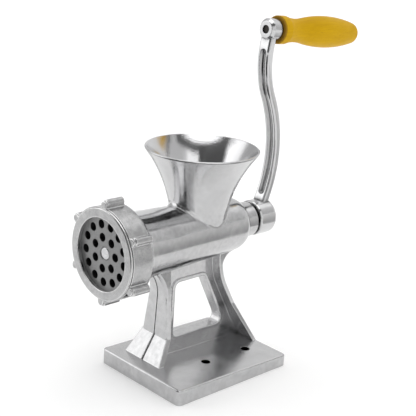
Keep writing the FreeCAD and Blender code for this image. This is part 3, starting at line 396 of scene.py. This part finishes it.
def ground_plate(settings):
    """Grinding plate: matte steel with the fine crossing marks of surface grinding."""
    plate = Finish("ground_plate", 1.0)
    marks = plate.noise(size=0.0004, detail=2.0, stretch=(14.0, 1.0, 1.0))
    grain = plate.noise(size=0.0005, detail=3.0)
    patches = plate.spread(plate.noise(size=0.007, detail=4.0), 0.0, 1.0)
    pale = tuple(1.35 * c for c in settings.plate_steel)
    metal = plate.tint(patches, rgba(settings.plate_steel), rgba(pale))
    metal = plate.tint(plate.spread(grain, 0.0, 0.6), metal, rgba(settings.plate_grain))
    # Painted shade on the walls of the plate's holes, where the surface turns away from the plate's faces
    along = plate.vector("DOT_PRODUCT", plate.facing, (0.0, 1.0, 0.0))
    in_hole = plate.step(plate.math("ABSOLUTE", along), 0.5, 0.3)
    metal = plate.tint(in_hole, metal, rgba(settings.painted_shade))
    rough = plate.math("ADD", plate.spread(patches, 0.40, 0.52), plate.spread(marks, -0.04, 0.04))
    height = plate.math("ADD", marks, grain)
    normal = plate.bump(height, depth=0.00002, normal=plate.soft_edges(radius=0.0003))
    plate.set(Base_Color=metal, Roughness=rough, Normal=normal)
    return plate


def turned_metal(name, pale, rough, axis_point=(0.0, 0.0, AXIS_HEIGHT)):
    """Lathe-turned metal, with fine rings round its axis, which runs along y."""
    turned = Finish(name, 1.0)
    off = turned.vector("MULTIPLY", turned.vector("SUBTRACT", turned.place, axis_point), (1.0, 0.0, 1.0))
    reach = turned.vector("LENGTH", off)
    tool_path = turned.math("ADD", reach, turned.math("MULTIPLY", turned.y, 1.7))
    rings = turned.add("ShaderNodeTexNoise", {
        "W": turned.math("MULTIPLY", tool_path, RINGS_PER_METRE), "Scale": 1.0, "Detail": 2.0},
        noise_dimensions="1D").outputs[0]
    patches = turned.spread(turned.noise(size=0.004, detail=3.0), 0.0, 1.0)
    dull = tuple(0.78 * c for c in pale)
    metal = turned.tint(turned.math("MULTIPLY", patches, 0.8), rgba(pale), rgba(dull))
    shine = turned.spread(rings, rough - 0.05, rough + 0.05)
    shine = turned.math("ADD", shine, turned.spread(patches, 0.0, 0.05))
    normal = turned.bump(rings, depth=0.00001, normal=turned.soft_edges(radius=0.0004))
    turned.set(Base_Color=metal, Roughness=shine, Normal=normal)
    return turned


def varnished_grip(settings):
    """Turned grip: pale wood under yellow varnish, brown and rougher in a band at its end next to the arm.
    """
    wood = Finish("varnished_grip", 0.0)
    off = wood.vector("SUBTRACT", wood.place, GRIP_FRONT)
    along = wood.vector("DOT_PRODUCT", off, (0.0, math.cos(GRIP_DROOP), -math.sin(GRIP_DROOP)))
    grain = wood.noise(size=0.0014, detail=5.0, stretch=(1.0, 22.0, 1.0), place=off)
    pores = wood.step(wood.noise(size=0.0007, detail=2.0, stretch=(1.0, 7.0, 1.0), place=off), 0.60, 0.74)
    clouds = wood.spread(wood.noise(size=0.016, detail=4.0, stretch=(1.0, 1.8, 1.0), place=off), 0.0, 1.0)
    streak = wood.spread(grain, 0.0, 1.0)
    tone = wood.math("ADD", wood.math("MULTIPLY", streak, 0.45), wood.math("MULTIPLY", clouds, 0.55))
    paint = wood.tint(tone, rgba(settings.grip_pale), rgba(settings.grip_deep))
    paint = wood.tint(wood.math("MULTIPLY", pores, 0.35), paint, rgba(settings.grip_pore))
    # A band at the grip's end next to the arm, tinted brown and made rougher
    end_band = wood.step(along, 0.0016, 0.0002)
    paint = wood.tint(wood.math("MULTIPLY", end_band, 0.85), paint, rgba(settings.grip_brown))
    rough = wood.math("ADD", wood.spread(clouds, 0.44, 0.56), wood.math("MULTIPLY", end_band, 0.2))
    height = wood.math("SUBTRACT", wood.math("MULTIPLY", grain, 0.5), pores)
    normal = wood.bump(height, depth=0.00004, normal=wood.soft_edges(radius=0.0006))
    wood.set(Base_Color=paint, Roughness=rough, Normal=normal)
    wood.set(Specular_IOR_Level=0.06, Coat_Weight=0.03, Coat_Roughness=0.25)
    return wood


# Operators

class GRINDER_OT_casting(bpy.types.Operator):
    """Finish the body casting and the feed screw."""

    bl_idname = "grinder.casting"
    bl_label = "Body Casting"

    def execute(self, context):
        dress(satin_casting(context.scene.grinder_finish), "body_casting", "auger")
        return {"FINISHED"}


class GRINDER_OT_bearing(bpy.types.Operator):
    """Finish the bush that carries the feed screw."""

    bl_idname = "grinder.bearing"
    bl_label = "Rear Bearing"

    def execute(self, context):
        settings = context.scene.grinder_finish
        dress(turned_metal("oiled_iron", settings.bush_iron, rough=0.4), "rear_bush")
        return {"FINISHED"}


class GRINDER_OT_outlet(bpy.types.Operator):
    """Finish the ring nut and the grinding plate at the outlet."""

    bl_idname = "grinder.outlet"
    bl_label = "Ring Nut and Plate"

    def execute(self, context):
        settings = context.scene.grinder_finish
        dress(blasted_ring(settings), "ring_nut")
        dress(ground_plate(settings), "grinding_plate")
        return {"FINISHED"}


class GRINDER_OT_steel(bpy.types.Operator):
    """Finish the knife, its stud, the plate's key, the crank screw and their washers."""

    bl_idname = "grinder.steel"
    bl_label = "Steel Pieces"

    def execute(self, context):
        settings = context.scene.grinder_finish
        steel = turned_metal("turned_steel", settings.bright_steel, rough=0.24)
        dress(steel, "knife_stud", "plate_key", "thrust_washer", "crank_screw", "crank_spring_washer")
        dress(turned_metal("ground_knife", settings.knife_steel, rough=0.3), "knife")
        return {"FINISHED"}


class GRINDER_OT_crank(bpy.types.Operator):
    """Finish the crank arm."""

    bl_idname = "grinder.crank"
    bl_label = "Crank Arm"

    def execute(self, context):
        dress(polished_crank(context.scene.grinder_finish), "crank_arm")
        return {"FINISHED"}


class GRINDER_OT_grip(bpy.types.Operator):
    """Finish the grip, its bolt and its washer."""

    bl_idname = "grinder.grip"
    bl_label = "Grip"

    def execute(self, context):
        settings = context.scene.grinder_finish
        dress(varnished_grip(settings), "grip")
        steel = turned_metal("dulled_steel", settings.dark_steel, rough=0.34, axis_point=GRIP_FRONT)
        dress(steel, "grip_bolt", "grip_washer")
        return {"FINISHED"}


# Studio

def floor_finish(settings):
    floor = Finish("pale_floor", 0.0)
    clouds = floor.spread(floor.noise(size=0.4, detail=2.0), 0.0, 1.0)
    shade = tuple(0.98 * c for c in settings.floor)
    floor.set(Base_Color=floor.tint(clouds, rgba(settings.floor), rgba(shade)), Roughness=0.9)
    floor.set(Emission_Color=(1.0, 1.0, 1.0, 1.0), Emission_Strength=settings.floor_glow)
    return floor


def lay_floor(settings):
    mesh = bpy.data.meshes.new("floor")
    corners = [(x * FLOOR_REACH, y * FLOOR_REACH, 0.0) for x, y in ((-1, -1), (1, -1), (1, 1), (-1, 1))]
    mesh.from_pydata(corners, [], [(0, 1, 2, 3)])
    mesh.materials.append(floor_finish(settings).material)
    floor = bpy.data.objects.new("floor", mesh)
    bpy.context.scene.collection.objects.link(floor)


def stand_card(name, left_end, right_end, reach, height, foot_shade, top_shade):
    """A felt card that stands on the floor and shows only in the metal's reflections."""
    left, right = (Vector(direction(azimuth, 0.0)) * reach for azimuth in (left_end, right_end))
    rise = Vector((0.0, 0.0, height))
    mesh = bpy.data.meshes.new(name)
    mesh.from_pydata([left, right, right + rise, left + rise], [], [(0, 1, 2, 3)])
    felt = Finish(name, 0.0)
    nap = felt.spread(felt.noise(size=0.004), -0.05, 0.05)
    fade = felt.math("ADD", felt.step(felt.z, 0.1 * height, height), nap)
    felt.set(Base_Color=felt.tint(fade, rgba([foot_shade] * 3), rgba([top_shade] * 3)), Roughness=1.0)
    mesh.materials.append(felt.material)
    card = bpy.data.objects.new(name, mesh)
    card.visible_camera = card.visible_diffuse = card.visible_shadow = False
    bpy.context.scene.collection.objects.link(card)


def direction(azimuth, elevation):
    """Unit vector towards a part of the room. Azimuth 0 is the camera's side and 90 is to its right."""
    turn, rise = math.radians(CAMERA_AZIMUTH + azimuth), math.radians(elevation)
    return (math.sin(turn) * math.cos(rise), -math.cos(turn) * math.cos(rise), math.sin(rise))


def light_room(settings):
    """A white room with soft boxes and a few dark gaps, which the metal reflects."""
    world = bpy.data.worlds.new("white_room")
    world.use_nodes = True
    room = Nodes(world.node_tree)
    towards = room.add("ShaderNodeTexCoord").outputs["Generated"]
    right = room.vector("DOT_PRODUCT", towards, direction(90.0, 0.0))
    near = room.vector("DOT_PRODUCT", towards, direction(0.0, 0.0))
    azimuth = room.math("DEGREES", room.math("ARCTAN2", right, near))
    rise = room.vector("DOT_PRODUCT", towards, (0.0, 0.0, 1.0))
    elevation = room.math("DEGREES", room.math("ARCSINE", rise))
    light = settings.room
    for left_end, right_end, low, high, soft, brightness in ROOM:
        patch = room.math("MULTIPLY", room.between(azimuth, left_end, right_end, soft),
                          room.between(elevation, low, high, soft))
        light = room.blend(patch, light, brightness)
    seen = room.add("ShaderNodeLightPath").outputs["Is Camera Ray"]
    background = world.node_tree.nodes["Background"]
    room.feed(background.inputs["Strength"], room.blend(seen, light, 1.0))
    background.inputs["Color"].default_value = (1.0, 1.0, 1.0, 1.0)
    bpy.context.scene.world = world


def place_camera(settings):
    data = bpy.data.cameras.new("camera")
    data.sensor_width = 36.0
    data.lens = settings.lens
    data.clip_start, data.clip_end = 0.01, 100.0
    camera = bpy.data.objects.new("camera", data)
    back = Vector(direction(0.0, CAMERA_ELEVATION))
    turn, roll = math.radians(CAMERA_AZIMUTH), math.radians(CAMERA_ROLL)
    level = Vector((math.cos(turn), math.sin(turn), 0.0))
    rise = back.cross(level)
    right = math.cos(roll) * level + math.sin(roll) * rise
    up = math.cos(roll) * rise - math.sin(roll) * level
    camera.matrix_world = Matrix.Translation(CAMERA_PLACE) @ Matrix((right, up, back)).transposed().to_4x4()
    bpy.context.scene.collection.objects.link(camera)
    bpy.context.scene.camera = camera


class GRINDER_OT_studio(bpy.types.Operator):
    """Lay the floor, stand the cards, light the room and place the camera."""

    bl_idname = "grinder.studio"
    bl_label = "Studio"

    def execute(self, context):
        settings = context.scene.grinder_studio
        lay_floor(settings)
        for name, card in CARDS.items():
            stand_card(name, *card)
        light_room(settings)
        place_camera(settings)
        context.scene.view_settings.view_transform = "Standard"
        return {"FINISHED"}


# Add-on

class GRINDER_PT_sidebar(bpy.types.Panel):
    """Grinder's operators and settings."""

    bl_idname = "GRINDER_PT_sidebar"
    bl_label = "Hand Crank Meat Grinder"
    bl_space_type = "VIEW_3D"
    bl_region_type = "UI"
    bl_category = "Grinder"

    def draw(self, context):
        for operator in OPERATORS:
            self.layout.operator(operator.bl_idname)
        for settings in (context.scene.grinder_finish, context.scene.grinder_studio):
            box = self.layout.box()
            for name in settings.__annotations__:
                box.prop(settings, name)


OPERATORS = (
    GRINDER_OT_casting,
    GRINDER_OT_bearing,
    GRINDER_OT_outlet,
    GRINDER_OT_steel,
    GRINDER_OT_crank,
    GRINDER_OT_grip,
    GRINDER_OT_studio,
)
CLASSES = (GrinderFinish, GrinderStudio, *OPERATORS, GRINDER_PT_sidebar)


def register():
    for cls in CLASSES:
        bpy.utils.register_class(cls)
    bpy.types.Scene.grinder_finish = PointerProperty(type=GrinderFinish)
    bpy.types.Scene.grinder_studio = PointerProperty(type=GrinderStudio)


def unregister():
    del bpy.types.Scene.grinder_studio
    del bpy.types.Scene.grinder_finish
    for cls in reversed(CLASSES):
        bpy.utils.unregister_class(cls)


def main():
    register()
    for operator in OPERATORS:
        group, name = operator.bl_idname.split(".")
        getattr(getattr(bpy.ops, group), name)()


if __name__ == "__main__":
    main()
